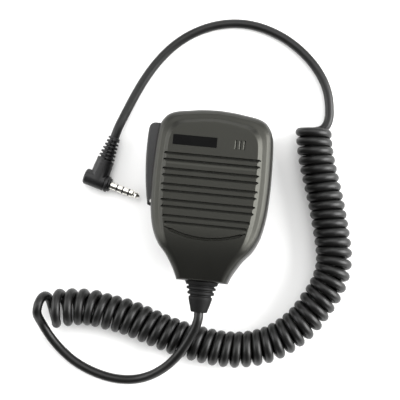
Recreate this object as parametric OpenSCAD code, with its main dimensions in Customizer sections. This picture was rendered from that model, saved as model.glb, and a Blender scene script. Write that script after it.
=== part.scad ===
// Hand microphone with a curly cord, for a hand-held radio.
// Frame: origin on the belt clip's outer face, below the middle of the case.
// X is across the case, +Y is the top of the case, +Z is the way the speaker faces.

/* [Case] */
// Width of the case, without the talk bar
case_w = 55.2; // [54.8:0.2:56.4]
// Height of the case, without the strain relief
case_h = 80.4; // [80:0.2:82]
// Depth of the case, from its back to its front panel
case_d = 26.4; // [26.4:0.2:28]
// Thickness of the shells' walls
wall = 2; // [1.8:0.1:2]

/* [Grille] */
// Pairs of grooves across the front
groove_pairs = 5; // [3:1:5]
// Distance between one pair and the next
pair_pitch = 7.25; // [7:0.05:7.4]
// Width of a groove
groove_w = 1.7; // [1.4:0.1:1.8]
// Depth of a groove
groove_depth = 1.1; // [0.8:0.1:1.2]

/* [Talk bar] */
// Height of the talk bar along the side of the case
bar_h = 39; // [38:0.5:39]
// Depth of the talk bar, front to back
bar_d = 14; // [12:0.5:14]

/* [Clip] */
// Length of the clip's jaw
jaw_h = 50.5; // [46:0.5:50.5]
// Width of the clip's jaw
jaw_w = 21.6; // [20.8:0.2:21.6]
// Gap that the belt goes into
belt_gap = 5.2; // [5:0.1:5.4]

/* [Cord] */
// Diameter of the cord
cord_d = 4.4; // [4:0.1:4.4]
// Outer diameter of the curly stretch
coil_d = 17.4; // [16.6:0.2:17.4]

/* [Plug] */
// Diameter of the plug's pin
pin_d = 3.5; // [3.5]
// Length of the plug's pin
pin_len = 15.2; // [15:0.1:15.4]

/* [Hidden] */
$fn = 48;
eps = 0.01;

// Case levels
half_w = case_w / 2;
half_h = case_h / 2;
jaw_t = 2.4;
base_t = 2.6;
base_z = jaw_t + belt_gap;
base_top = base_z + base_t;
back_z = base_top + 1.4;
front_z = back_z + case_d;
split_z = back_z + 12.4;
inner_back_z = back_z + wall;
inner_front_z = front_z - wall - 0.1;
// The lower face falls away from the panel's plane, by sag_drop at the bottom edge
sag_start = -16;
sag_drop = 5;

// Right half of the case's outline, from the middle of the top to the bottom corner
HALF = [
    [0, 40.2], [7, 39.8], [13, 39], [19, 38], [22.8, 36.3], [25.2, 33.5], [26.6, 30],
    [27.2, 24], [27.6, 13], [27.6, 4], [27, -7], [25.1, -17], [21.9, -24], [17.8, -29],
    [14.6, -34], [12.6, -38], [11.8, -40.2]
];
OUTLINE_W = 27.6;
OUTLINE_H = 40.2;

// Speaker and microphone
speaker_y = 2.2;
speaker_r = 18;
mic_pos = [12.4, 24.3];
mic_slot_pitch = 2;
label_pos = [-8.7, 24.3];
label_size = [20.6, 4.7];
grille_top_y = 17.5;
pair_gap = 3.05;
GROOVE_HALF = [22.5, 22.5, 22.5, 22.4, 22.4, 22.2, 22, 21.6, 20.4, 19.2];
smile_r = 44.6;
smile_y = -20.5;
smile_half = 17.7;

// Screws that hold the two shells together
SCREWS = [[19.5, 32], [-19.5, 32], [11, -28], [-11, -28]];

// Circuit board
board_top = split_z - 2.6;
board_t = 1.6;
part_h = 5.2;

// Talk bar: it turns on an upright pin at its lower end
bar_low_y = -7;
bar_top_y = bar_low_y + bar_h;
ptt_floor_x = -half_w + 2.7;
ptt_wall = 1.6;
ptt_pin_pos = [ptt_floor_x - 1.8, bar_low_y + 2];
ptt_pin_r = 0.8;
plunger_y = 21;
plunger_r = 1.4;
seal_r = 2.5;
switch_x = -20.6;
switch_w = 5;

// Earphone jack, in the right side
jack_y = 12;
jack_bore_r = 1.8;
jack_len = 14;
jack_face_x = half_w - 0.4;

// Strain relief and cable
relief_y = -half_h;
relief_len = 14.4;
clamp_y = -34;
tail_end_y = -26;

// Clip: it swivels on a screw in the case's back, and its jaw turns on a pin
swivel_y = 4;
clip_low_y = swivel_y - 29.5;
clip_pin_y = 15;
clip_pin_z = 5;
clip_pin_r = 1.2;
spring_y = 21;

// Cord routes, in points along the middle of the cord
cord_r = cord_d / 2;
coil_r = coil_d / 2;
HANDSET_ROUTE = [
    [0, -54.6, 24], [0, -57.6, 24], [-1, -62, 23], [-2.8, -66.5, 21.2], [-5, -71, 20],
    [-7.5, -75, 18.4], [-10.7, -79.4, 15.4], [-15.3, -83.6, 11.5], [-22, -88.1, 6.5],
    [-30, -90.9, 3.4], [-38, -91.4, 2.2], [-46, -90.2, 2.2], [-54, -87.6, 2.2],
    [-62, -83.6, 2.2], [-69, -78, 2.4], [-74, -72.3, 3.6], [-77, -67, 5.8]
];
COIL_ROUTE = [
    [-79, -61.5], [-74, -60.8], [-69, -59.8], [-63.5, -58.7], [-58, -58], [-52.5, -57.9],
    [-45.5, -59], [-36, -60.5], [-27, -63], [-18.5, -65.7], [-10, -68], [0.5, -70],
    [11, -71], [21, -70.5], [33, -67], [41.5, -61.5], [49, -54], [54, -46], [58, -38.5],
    [60.3, -31], [60.8, -24], [59.5, -15.5], [57.3, -7], [55, 1.5], [52.3, 10],
    [49.5, 18.5], [46.8, 28], [45, 38.5]
];
PLUG_ROUTE = [
    [46.8, 35.5], [49.5, 38.2], [51.2, 41.5], [52, 46], [52, 51], [50.5, 57.5], [46.5, 65],
    [40, 72.5], [31, 79.5], [20.5, 84.5], [10, 87], [1, 87], [-8, 85], [-16, 81.5],
    [-23.5, 76.5], [-30.5, 69.5], [-36.5, 61], [-41, 52.5], [-44.5, 44.5]
];
// The last stretch rises from the surface, and goes straight into the plug's boot
PLUG_RISE = [-47.3, 37, 3];
PLUG_ENTRY = 5;

// Plug: its origin is where the boot's axis meets the pin's
plug_pos = [-57, 3.8, 4];
plug_angle = -15.5;
plug_half = 6.8;
plug_r = 3.9;
stub_r = 4;
boot_len = 22.5;
boot_start = 6.5;
boot_base = 10;
ring_gap = 0.7;
RING_STARTS = [3.1, 6.1, 9.2];

// ---- Shared shapes ----

function spline_point(a, b, c, d, t) =
    0.5 * (2 * b + (c - a) * t + (2 * a - 5 * b + 4 * c - d) * t * t
    + (3 * b - a - 3 * c + d) * t * t * t);

// A smooth line through points p, with n steps between one point and the next
function spline(p, n) = [
    for (i = [0 : len(p) - 2]) for (k = [0 : n - 1])
        spline_point(p[max(i - 1, 0)], p[i], p[i + 1], p[min(i + 2, len(p) - 1)], k / n),
    p[len(p) - 1]
];

SIDE = [for (p = spline(HALF, 2)) [p.x * half_w / OUTLINE_W, p.y * half_h / OUTLINE_H]];

// The case's whole outline drawn in by inset; below the middle, its height shrinks by low as much
function outline(inset, low) =
    let (fx = 1 - inset / half_w, fy = inset / half_h,
        right = [for (p = SIDE) [p.x * fx, p.y * (1 - (p.y > 0 ? fy : low * fy))]])
    concat(right, [for (i = [len(right) - 1 : -1 : 1]) [-right[i].x, right[i].y]]);

function sag(y) = y < sag_start ? sag_drop * pow((sag_start - y) / (half_h + sag_start), 2) : 0;

// A closed solid through rings of the case's outline. Each level is [inset, z, share of the sag].
module case_loft(levels, low) {
    sides = len(SIDE);
    count = 2 * sides - 1;
    rings = len(levels);
    points = [
        for (level = levels) for (p = outline(level[0], low)) [p.x, p.y, level[1] - level[2] * sag(p.y)]
    ];
    walls = [
        for (j = [0 : rings - 2]) for (k = [0 : count - 1])
            [j * count + k, j * count + (k + 1) % count,
            (j + 1) * count + (k + 1) % count, (j + 1) * count + k]
    ];
    top = (rings - 1) * count;
    lids = concat(
        [[top, top + 1, top + count - 1], [count - 1, 1, 0]],
        [for (i = [1 : sides - 2]) [top + i, top + i + 1, top + count - i - 1, top + count - i]],
        [for (i = [1 : sides - 2]) [count - i, count - i - 1, i + 1, i]]
    );
    polyhedron(points = points, faces = concat(walls, lids), convexity = 6);
}

// A tube of radius r with flat ends, swept along points p
module tube(p, r, sides) {
    last = len(p) - 1;
    rings = [
        for (i = [0 : last])
            let (along = p[min(i + 1, last)] - p[max(i - 1, 0)],
                side = cross(along, [0, 0, 1]) / norm(cross(along, [0, 0, 1])),
                up = cross(side, along) / norm(along))
            for (k = [0 : sides - 1])
                p[i] + r * (side * sin(360 * k / sides) + up * cos(360 * k / sides))
    ];
    faces = concat(
        [for (i = [0 : last - 1]) for (k = [0 : sides - 1])
            [i * sides + k, i * sides + (k + 1) % sides,
            (i + 1) * sides + (k + 1) % sides, (i + 1) * sides + k]],
        [[for (k = [sides - 1 : -1 : 0]) k]],
        [[for (k = [0 : sides - 1]) last * sides + k]]
    );
    polyhedron(points = rings, faces = faces, convexity = 10);
}

// A flat slot with round ends, from -half to half across
module slot_2d(half, width) {
    square([2 * half - width, width], center = true);
    for (s = [-1, 1])
        translate([s * (half - width / 2), 0]) circle(d = width);
}

// A rectangle with round corners
module rounded_2d(size, r) {
    square([size.x - 2 * r, size.y], center = true);
    square([size.x, size.y - 2 * r], center = true);
    for (sx = [-1, 1], sy = [-1, 1])
        translate([sx * (size.x / 2 - r), sy * (size.y / 2 - r)]) circle(r = r);
}

module along_x(pos) {
    translate(pos) rotate([0, 90, 0]) children();
}

module along_y(pos) {
    translate(pos) rotate([-90, 0, 0]) children();
}

module at_screws() {
    for (p = SCREWS) translate([p.x, p.y, 0]) children();
}

module at_plug() {
    translate(plug_pos) rotate([0, 0, plug_angle]) children();
}

function groove_y(i) = grille_top_y - floor(i / 2) * pair_pitch - (i % 2) * pair_gap;

// ---- Case ----

module front_outer() {
    case_loft([
        [0, split_z, 0], [0, front_z - 6.6, 0.6], [0.7, front_z - 4, 0.8], [2.3, front_z - 2.4, 0.95],
        [4.6, front_z - 1.5, 1], [6.3, front_z, 1]
    ], 0.15);
}

module front_cavity() {
    case_loft([
        [wall, split_z - 1, 0], [wall, front_z - 7, 0.6], [wall + 1.6, front_z - 4.2, 0.85],
        [wall + 4.4, inner_front_z, 1]
    ], 1);
}

// The pocket that the talk bar sits in, with room for its travel
module ptt_pocket() {
    translate([ptt_floor_x - 10, bar_low_y - 1.2, split_z - bar_d / 2 - 0.4])
        cube([10, bar_h + 1.9, bar_d + 0.8]);
    translate([ptt_pin_pos.x, ptt_pin_pos.y, split_z - bar_d / 2 - 1.6])
        cylinder(r = ptt_pin_r + 0.05, h = bar_d + 3.2);
    along_x([ptt_floor_x - 1, plunger_y, split_z]) cylinder(r = seal_r + 0.1, h = 5);
}

module ptt_backing() {
    translate([-half_w, bar_low_y - 2.8, split_z - bar_d / 2 - 2])
        cube([half_w + ptt_floor_x + ptt_wall, bar_h + 5.1, bar_d + 4]);
}

module side_openings() {
    ptt_pocket();
    along_x([half_w - 4, jack_y, split_z]) cylinder(r = 3.2, h = 6);
    along_y([0, relief_y - 1, split_z]) cylinder(r = 5.5, h = wall + 2.5);
    // Seat of the strain relief's inner flange
    along_y([0, relief_y + wall + 0.1, split_z]) cylinder(r = 7, h = 1.8);
}

module grille_cuts() {
    for (i = [0 : 2 * groove_pairs - 1])
        translate([0, groove_y(i), front_z - groove_depth])
            linear_extrude(3) slot_2d(GROOVE_HALF[i], groove_w);
    // Sound slots, through the floor of each groove that the speaker is behind
    translate([0, 0, inner_front_z - 1]) linear_extrude(3)
        for (i = [0 : 2 * groove_pairs - 1])
            let (reach = pow(15, 2) - pow(groove_y(i) - speaker_y, 2))
                if (reach > 16)
                    for (s = [-1, 1])
                        translate([s * (sqrt(reach) / 2 + 0.5), groove_y(i)])
                            square([sqrt(reach) - 1, 0.9], center = true);
    for (i = [-1 : 1])
        translate([mic_pos.x + i * mic_slot_pitch, mic_pos.y, inner_front_z - 1])
            linear_extrude(5) rotate(90) slot_2d(2.15, 0.8);
}

module smile_groove() {
    intersection() {
        translate([0, smile_y + smile_r, front_z - 1]) difference() {
            cylinder(r = smile_r + 0.6, h = 3, $fn = 96);
            translate([0, 0, -1]) cylinder(r = smile_r - 0.6, h = 5, $fn = 96);
        }
        translate([-smile_half, smile_y - 2, front_z - 2]) cube([2 * smile_half, 8, 5]);
    }
}

module front_shell() {
    color("dimgray") difference() {
        union() {
            difference() {
                front_outer();
                front_cavity();
            }
            intersection() {
                front_outer();
                ptt_backing();
            }
            intersection() {
                front_outer();
                at_screws() translate([0, 0, split_z]) cylinder(r = 2.8, h = case_d / 2);
            }
            // Rings that locate the speaker and the microphone
            translate([0, speaker_y, front_z - 5.5]) difference() {
                cylinder(r = speaker_r + 1.4, h = 4.5);
                translate([0, 0, -1]) cylinder(r = speaker_r + 0.2, h = 4.4);
            }
        }
        at_screws() translate([0, 0, split_z - 1]) cylinder(r = 1.2, h = 9);
        side_openings();
        grille_cuts();
        smile_groove();
        translate([label_pos.x, label_pos.y, front_z - 0.5])
            linear_extrude(2) square(label_size, center = true);
    }
}

module rear_outer() {
    case_loft([
        [3.2, back_z, 0], [1.1, back_z + 0.9, 0], [0, back_z + 3, 0], [0, split_z, 0]
    ], 0.4);
}

module rear_cavity() {
    case_loft([
        [wall + 2.6, inner_back_z, 0], [wall, back_z + 4, 0], [wall, split_z + 1, 0]
    ], 1);
}

module rear_shell() {
    color("#2b2b29") difference() {
        union() {
            difference() {
                rear_outer();
                rear_cavity();
            }
            intersection() {
                rear_outer();
                ptt_backing();
            }
            intersection() {
                rear_outer();
                at_screws() translate([0, 0, back_z]) cylinder(r = 3, h = split_z - back_z);
            }
            // Swivel boss, with a round pad outside for the washer
            translate([0, swivel_y, back_z - 0.4]) cylinder(r = 8.5, h = wall + 0.4);
            translate([0, swivel_y, back_z]) cylinder(r = 5.2, h = 6);
            // Posts under the circuit board, and the seat of the cable clamp
            for (x = [-16, 16], y = [-15, 13])
                translate([x, y, back_z + 1]) cylinder(r = 1.8, h = board_top - board_t - back_z - 1);
            translate([-6.5, clamp_y, back_z + 1]) cube([13, 4.5, split_z - back_z - 4.5]);
        }
        at_screws() {
            translate([0, 0, back_z - 1]) cylinder(r = 2.6, h = 2.8);
            translate([0, 0, back_z]) cylinder(r = 1.35, h = case_d);
        }
        translate([0, swivel_y, back_z - 1]) cylinder(r = 3.05, h = 9);
        side_openings();
    }
}

module case_screws() {
    color("silver") at_screws() {
        translate([0, 0, back_z + 0.3]) difference() {
            cylinder(r = 2.4, h = 1.5);
            for (a = [0, 90]) rotate(a)
                translate([-1.3, -0.25, -1]) cube([2.6, 0.5, 1.8]);
        }
        translate([0, 0, back_z + 1.8 - eps]) cylinder(r = 1.15, h = 16);
    }
}

module nameplate() {
    color("black") translate([label_pos.x, label_pos.y, front_z - 0.5])
        linear_extrude(0.5) square(label_size - [0.2, 0.2], center = true);
}

// ---- Speaker and microphone ----

module grille_cloth() {
    color("black") translate([0, speaker_y, inner_front_z - 0.3]) cylinder(r = speaker_r - 0.2, h = 0.3);
}

module speaker_gasket() {
    color("#202020") translate([0, speaker_y, inner_front_z - 0.8]) difference() {
        cylinder(r = speaker_r - 0.2, h = 0.5);
        translate([0, 0, -1]) cylinder(r = speaker_r - 2.6, h = 3);
    }
}

module speaker_frame() {
    color("silver") translate([0, speaker_y, inner_front_z - 0.8]) rotate_extrude()
        polygon([
            [6, -6], [10, -6], [15.6, -1.6], [speaker_r, -1.6], [speaker_r, 0],
            [15.5, 0], [15.5, -0.8], [15, -0.9], [9.4, -5.2], [6, -5.2]
        ]);
}

module speaker_cone() {
    color("#1c1c1c") translate([0, speaker_y, inner_front_z - 0.8]) rotate_extrude()
        polygon([
            [0, -2.3], [3, -2.6], [6, -3.7], [13.6, -0.9], [14.4, -0.35], [15.3, -0.75],
            [15.3, -0.55], [14.4, -0.1], [13.4, -0.6], [6, -3.4], [3, -2.3], [0, -2]
        ]);
}

module speaker_magnet() {
    color("gray") translate([0, speaker_y, board_top + 3.2])
        cylinder(r = 9, h = inner_front_z - 6.8 - board_top - 3.2);
}

module speaker_wires() {
    color("red") for (x = [-3, 3])
        translate([x, speaker_y - 16.8, board_top])
            cylinder(r = 0.45, h = inner_front_z - 2.4 - board_top);
}

module mic_capsule() {
    color("silver") translate([mic_pos.x, mic_pos.y, inner_front_z - 5.3]) {
        cylinder(r = 4.85, h = 4.5);
        for (x = [-1.3, 1.3]) translate([x, 0, -1.5 + eps]) cylinder(r = 0.3, h = 1.5);
    }
}

module mic_boot() {
    color("#181818") translate([mic_pos.x, mic_pos.y, inner_front_z - 5.3]) difference() {
        cylinder(r = 5.7, h = 5.3);
        translate([0, 0, -1]) cylinder(r = 4.9, h = 5.5);
        cylinder(r = 3.6, h = 6);
    }
}

// ---- Circuit board ----

module circuit_board() {
    color("darkgreen") translate([0, 0, board_top - board_t]) linear_extrude(board_t) difference() {
        translate([0, 3]) rounded_2d([43, 46], 2);
        for (x = [-19.5, 19.5]) translate([x, -19]) circle(r = 1.2);
    }
}

module board_components() {
    color("#151515") translate([0, 0, board_top]) {
        translate([-4, -8, 0]) cube([8, 8, 1.5]);
        translate([-14, -6, 0]) cube([5, 4, 1.2]);
        translate([11, -12, 0]) cube([4, 6, 1.2]);
        for (x = [-15 : 5 : -5]) translate([x, -18, 0]) cube([2, 1.2, 0.7]);
        translate([6, -16, 0]) cylinder(r = 2, h = 2.6);
    }
}

module ptt_switch() {
    color("#333333") difference() {
        translate([switch_x, plunger_y - 3, board_top]) cube([switch_w, 6, part_h]);
        along_x([switch_x - 1, plunger_y, split_z]) cylinder(r = plunger_r + 0.1, h = 4.4);
    }
}

module switch_plunger() {
    color("white") along_x([ptt_floor_x - 1.1, plunger_y, split_z]) cylinder(r = plunger_r, h = 7.2);
}

module ptt_seal() {
    color("#222222") difference() {
        union() {
            along_x([ptt_floor_x, plunger_y, split_z]) cylinder(r = seal_r, h = ptt_wall + 0.4);
            along_x([ptt_floor_x + ptt_wall, plunger_y, split_z]) cylinder(r = seal_r + 1, h = 0.8);
        }
        along_x([ptt_floor_x - 1, plunger_y, split_z]) cylinder(r = plunger_r + 0.1, h = 5);
    }
}

module earphone_jack() {
    color("#1a1a1a") difference() {
        union() {
            translate([half_w - wall - jack_len + 0.4, jack_y - 3.2, board_top])
                cube([jack_len - 0.6, 6.4, part_h]);
            along_x([half_w - wall - 1, jack_y, split_z]) cylinder(r = 3, h = wall + 0.6);
        }
        along_x([jack_face_x - jack_len, jack_y, split_z]) cylinder(r = jack_bore_r, h = jack_len + 1);
    }
}

// ---- Talk bar ----

module ptt_pin() {
    color("silver") translate([ptt_pin_pos.x, ptt_pin_pos.y, split_z - bar_d / 2 - 1.5])
        cylinder(r = ptt_pin_r, h = bar_d + 3);
}

// Outline of the bar: its proud outer face, then its inner face
function bar_face() = [
    for (p = spline([
        [-26.4, 32], [-29.2, 32], [-31, 30.6], [-31.6, 27], [-31.6, 17], [-30.9, 7],
        [-29.8, -1], [-28.6, -5.2], [-27.4, -6.8], [-25.3, -7]
    ], 4)) [p.x + OUTLINE_W - half_w, bar_low_y + (p.y + 7) * bar_h / 39]
];

module ptt_bar() {
    color("#3a3a38") translate([0, 0, split_z - bar_d / 2]) difference() {
        linear_extrude(bar_d) polygon(bar_face());
        translate([ptt_pin_pos.x, ptt_pin_pos.y, -1]) cylinder(r = ptt_pin_r + 0.05, h = bar_d + 2);
    }
}

// ---- Strain relief and cable ----

module strain_relief() {
    color("#1d1d1d") along_y([0, relief_y, split_z]) difference() {
        rotate([180, 0, 0]) rotate_extrude() polygon([
            [0, -wall - 1.8], [6.8, -wall - 1.8], [6.8, -wall - 0.2], [5.4, -wall - 0.2], [5.4, 0],
            [8, 0], [7.2, 1.6], [6.1, 1.8], [6.1, 2.3], [6.9, 2.6], [6.9, 3.6], [5.6, 3.9],
            [5.6, 4.5], [6.3, 4.8], [6.3, 6], [5, 6.3], [5, 6.9], [5.6, 7.2], [5.5, 8.4],
            [3.9, relief_len - 0.4], [3.5, relief_len], [0, relief_len]
        ]);
        translate([0, 0, -relief_len - 1]) cylinder(r = cord_r + 0.02, h = relief_len + 6);
    }
}

module cord_tail() {
    color("#262626") along_y([0, relief_y - relief_len, split_z])
        cylinder(r = cord_r, h = tail_end_y - relief_y + relief_len);
}

module cable_clamp() {
    color("silver") difference() {
        translate([-6.5, clamp_y, split_z - 3.5]) cube([13, 4.5, 7]);
        along_y([0, clamp_y - 1, split_z]) cylinder(r = cord_r + 0.05, h = 7);
        for (x = [-4.7, 4.7]) translate([x, clamp_y + 2.25, split_z - 4]) cylinder(r = 0.9, h = 9);
    }
}

module lead_wires() {
    color("goldenrod") for (x = [-1.65 : 1.1 : 1.65])
        translate([x, tail_end_y + 0.15, split_z]) rotate([-108, 0, 0]) cylinder(r = 0.4, h = 6.9);
}

// ---- Belt clip ----

module swivel_insert() {
    color("gold") translate([0, swivel_y, back_z]) difference() {
        cylinder(r = 3, h = 5.6);
        translate([0, 0, -1]) cylinder(r = 1.55, h = 8);
    }
}

module swivel_screw() {
    color("silver") translate([0, swivel_y, 0]) difference() {
        union() {
            translate([0, 0, base_z + 0.3]) cylinder(r = 3.6, h = 1.4);
            translate([0, 0, base_z + 1.7 - eps]) cylinder(r = 2, h = back_z - base_z - 1.8);
            translate([0, 0, back_z - 0.2]) cylinder(r = 1.5, h = 5.2);
        }
        for (a = [0, 90]) rotate(a) translate([-2, -0.4, base_z - 1]) cube([4, 0.8, 2]);
    }
}

module swivel_washer() {
    color("silver") translate([0, swivel_y, base_top + 0.1]) difference() {
        cylinder(r = 7, h = 0.8);
        translate([0, 0, -1]) cylinder(r = 2.2, h = 3);
    }
}

module clip_base() {
    ear_z = clip_pin_z - 2.2;
    color("#242424") difference() {
        union() {
            translate([0, swivel_y - 5, base_z]) linear_extrude(base_t) rounded_2d([20, jaw_h - 3.5], 6);
            for (x = [-8.6, 6.4]) {
                translate([x, clip_pin_y - 2.2, clip_pin_z]) cube([2.2, 4.4, base_z - clip_pin_z + 1]);
                along_x([x, clip_pin_y, clip_pin_z]) cylinder(r = clip_pin_z - ear_z, h = 2.2);
            }
        }
        translate([0, swivel_y, base_z - 1]) cylinder(r = 2.05, h = base_t + 2);
        translate([0, swivel_y, base_z - 1]) cylinder(r = 4, h = 2.8);
        along_x([-12, clip_pin_y, clip_pin_z]) cylinder(r = clip_pin_r + 0.02, h = 24);
    }
}

module clip_pin() {
    color("silver") along_x([-jaw_w / 2 + 0.2, clip_pin_y, clip_pin_z])
        cylinder(r = clip_pin_r, h = jaw_w - 0.4);
}

module clip_jaw() {
    ear_t = jaw_w / 2 - 9;
    color("#242424") difference() {
        union() {
            translate([0, clip_low_y + jaw_h / 2, 0]) linear_extrude(jaw_t) rounded_2d([jaw_w, jaw_h], 6);
            for (x = [-jaw_w / 2, 9]) {
                translate([x, clip_pin_y - 2.4, jaw_t - 1]) cube([ear_t, 4.8, clip_pin_z - jaw_t + 1]);
                along_x([x, clip_pin_y, clip_pin_z]) cylinder(r = 2.4, h = ear_t);
            }
            // Lip that stops the belt from sliding out
            translate([-5.5, clip_low_y + 0.4, jaw_t - 1]) cube([11, 2.4, belt_gap + 0.7]);
        }
        along_x([-jaw_w, clip_pin_y, clip_pin_z]) cylinder(r = clip_pin_r + 0.06, h = 2 * jaw_w);
        // Thumb grooves
        for (y = [18.2 : 1.7 : 23.4])
            translate([-6, y, -1]) cube([12, 0.8, 1.4]);
    }
}

module clip_spring() {
    turns = 4;
    steps = 12;
    wire_r = 0.35;
    height = belt_gap - 2 * wire_r - 0.1;
    color("silver") translate([0, spring_y, jaw_t + wire_r + 0.05]) tube([
        for (i = [0 : turns * steps])
            [2.2 * cos(360 * i / steps), 2.2 * sin(360 * i / steps), height * i / (turns * steps)]
    ], wire_r, 6);
}

// ---- Cord and plug ----

module handset_lead() {
    color("#262626") tube(HANDSET_ROUTE, cord_r, 10);
}

module curly_cord() {
    color("#262626") tube([for (p = COIL_ROUTE) [p.x, p.y, coil_r]], coil_r, 12);
}

module plug_lead() {
    boot_dir = [cos(plug_angle + 90), sin(plug_angle + 90), 0];
    color("#262626") tube(concat(
        [for (p = PLUG_ROUTE) [p.x, p.y, cord_r]], [PLUG_RISE],
        [for (w = [boot_len + PLUG_ENTRY, boot_len]) plug_pos + w * boot_dir]
    ), cord_r, 10);
}

module plug_boot() {
    ribs = 6;
    rib_pitch = (boot_len - boot_base - 0.4) / ribs;
    // Radius of rib i, shrinking towards the cord
    function rib_r(i) = stub_r - 0.19 * i;
    color("#1f1f1f") at_plug() along_y([0, 0, 0]) rotate_extrude() polygon(concat(
        [[0, boot_start], [stub_r, boot_start], [stub_r, boot_base]],
        [for (i = [0 : ribs - 1]) each [
            [3.3 - 0.15 * i, boot_base + i * rib_pitch + 0.1],
            [3.3 - 0.15 * i, boot_base + i * rib_pitch + 0.8],
            [rib_r(i), boot_base + i * rib_pitch + 1],
            [rib_r(i + 1), boot_base + (i + 1) * rib_pitch - 0.05]
        ]],
        [[2.6, boot_len], [0, boot_len]]
    ));
}

module plug_body() {
    color("#1f1f1f") at_plug() union() {
        along_x([-plug_half + 1, 0, 0]) cylinder(r = plug_r, h = 2 * plug_half - 2.4);
        along_x([-plug_half, 0, 0]) cylinder(r = plug_r - 0.5, h = 2);
        along_x([plug_half - 2, 0, 0]) cylinder(r = 3.2, h = 2);
        along_y([0, 0, 0]) cylinder(r = stub_r, h = boot_start);
    }
}

// A stretch of the plug's pin, from start to end along it
module pin_ring(start, end) {
    at_plug() along_x([plug_half + start, 0, 0]) difference() {
        cylinder(d = pin_d, h = end - start);
        translate([0, 0, -1]) cylinder(r = 0.6, h = end - start + 2);
    }
}

module plug_sleeve() {
    color("silver") pin_ring(0, RING_STARTS[0]);
}

module plug_rings() {
    color("silver") for (i = [0, 1]) pin_ring(RING_STARTS[i] + ring_gap, RING_STARTS[i + 1]);
}

module plug_insulators() {
    color("black") for (start = RING_STARTS) pin_ring(start, start + ring_gap);
}

module plug_tip() {
    start = RING_STARTS[2] + ring_gap;
    color("silver") at_plug() along_x([plug_half, 0, 0]) union() {
        rotate_extrude() polygon([
            [0, start], [pin_d / 2, start], [pin_d / 2, start + 1.6], [1.15, start + 2.3],
            [1.15, start + 2.7], [pin_d / 2 - 0.1, start + 3.5], [1.5, start + 4],
            [0.5, pin_len - 0.15], [0, pin_len]
        ]);
        cylinder(r = 0.58, h = start + eps);
    }
}

front_shell();
rear_shell();
case_screws();
nameplate();
grille_cloth();
speaker_gasket();
speaker_frame();
speaker_cone();
speaker_magnet();
speaker_wires();
mic_capsule();
mic_boot();
circuit_board();
board_components();
ptt_switch();
switch_plunger();
ptt_seal();
ptt_pin();
ptt_bar();
earphone_jack();
strain_relief();
cord_tail();
cable_clamp();
lead_wires();
swivel_insert();
swivel_screw();
swivel_washer();
clip_base();
clip_pin();
clip_jaw();
clip_spring();
handset_lead();
curly_cord();
plug_lead();
plug_boot();
plug_body();
plug_sleeve();
plug_rings();
plug_insulators();
plug_tip();
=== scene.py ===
"""The looks of the hand microphone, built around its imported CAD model.

Lengths are in millimetres, in the CAD model's frame, until a mesh or curve is made from them.
"""

import math

import bmesh
import bpy
import numpy as np
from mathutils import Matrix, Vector
from mathutils.geometry import delaunay_2d_cdt


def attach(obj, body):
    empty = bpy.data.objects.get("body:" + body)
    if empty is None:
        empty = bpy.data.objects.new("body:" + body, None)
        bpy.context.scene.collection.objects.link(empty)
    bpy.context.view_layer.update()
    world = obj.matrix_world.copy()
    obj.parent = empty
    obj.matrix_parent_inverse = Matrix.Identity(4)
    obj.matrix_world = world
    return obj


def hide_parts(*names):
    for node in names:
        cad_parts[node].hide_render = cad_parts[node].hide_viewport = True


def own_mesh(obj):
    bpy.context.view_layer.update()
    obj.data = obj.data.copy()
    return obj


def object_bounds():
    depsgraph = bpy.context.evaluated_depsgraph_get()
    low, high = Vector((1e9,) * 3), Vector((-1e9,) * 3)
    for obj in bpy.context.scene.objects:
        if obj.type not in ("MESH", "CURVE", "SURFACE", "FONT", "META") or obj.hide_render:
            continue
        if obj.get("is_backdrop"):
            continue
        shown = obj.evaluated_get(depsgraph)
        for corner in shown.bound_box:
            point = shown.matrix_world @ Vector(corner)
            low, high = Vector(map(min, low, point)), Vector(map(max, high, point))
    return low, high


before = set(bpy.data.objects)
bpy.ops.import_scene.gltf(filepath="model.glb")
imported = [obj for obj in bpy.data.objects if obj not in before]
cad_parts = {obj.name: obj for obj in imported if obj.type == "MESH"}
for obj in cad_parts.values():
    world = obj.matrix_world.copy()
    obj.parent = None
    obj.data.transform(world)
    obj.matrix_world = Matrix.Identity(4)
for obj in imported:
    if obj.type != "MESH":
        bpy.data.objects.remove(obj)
cad_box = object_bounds()
MM = 0.001

# ---- Camera ----

CAMERA_TARGET = Vector((-4.4, -2.2, 28))
CAMERA_OFFSET = Vector((53.4, -35.6, 677))
CAMERA_RIGHT = Vector((0.9954, 0.0958, 0))
VIEW_WIDTH = 187.35
SENSOR = 36


def make_camera():
    data = bpy.data.cameras.new("camera")
    data.sensor_width = SENSOR
    data.lens = SENSOR * CAMERA_OFFSET.length / VIEW_WIDTH
    data.clip_end = 20
    camera = bpy.data.objects.new("camera", data)
    bpy.context.scene.collection.objects.link(camera)
    back = CAMERA_OFFSET.normalized()
    right = (CAMERA_RIGHT - back * CAMERA_RIGHT.dot(back)).normalized()
    up = back.cross(right)
    rotation = np.array([right, up, back]).T
    camera.matrix_world = [
        [*rotation[0], (CAMERA_TARGET + CAMERA_OFFSET).x * MM],
        [*rotation[1], (CAMERA_TARGET + CAMERA_OFFSET).y * MM],
        [*rotation[2], (CAMERA_TARGET + CAMERA_OFFSET).z * MM],
        [0, 0, 0, 1],
    ]
    camera.matrix_world.transpose()
    bpy.context.scene.camera = camera


# ---- Materials ----


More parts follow.
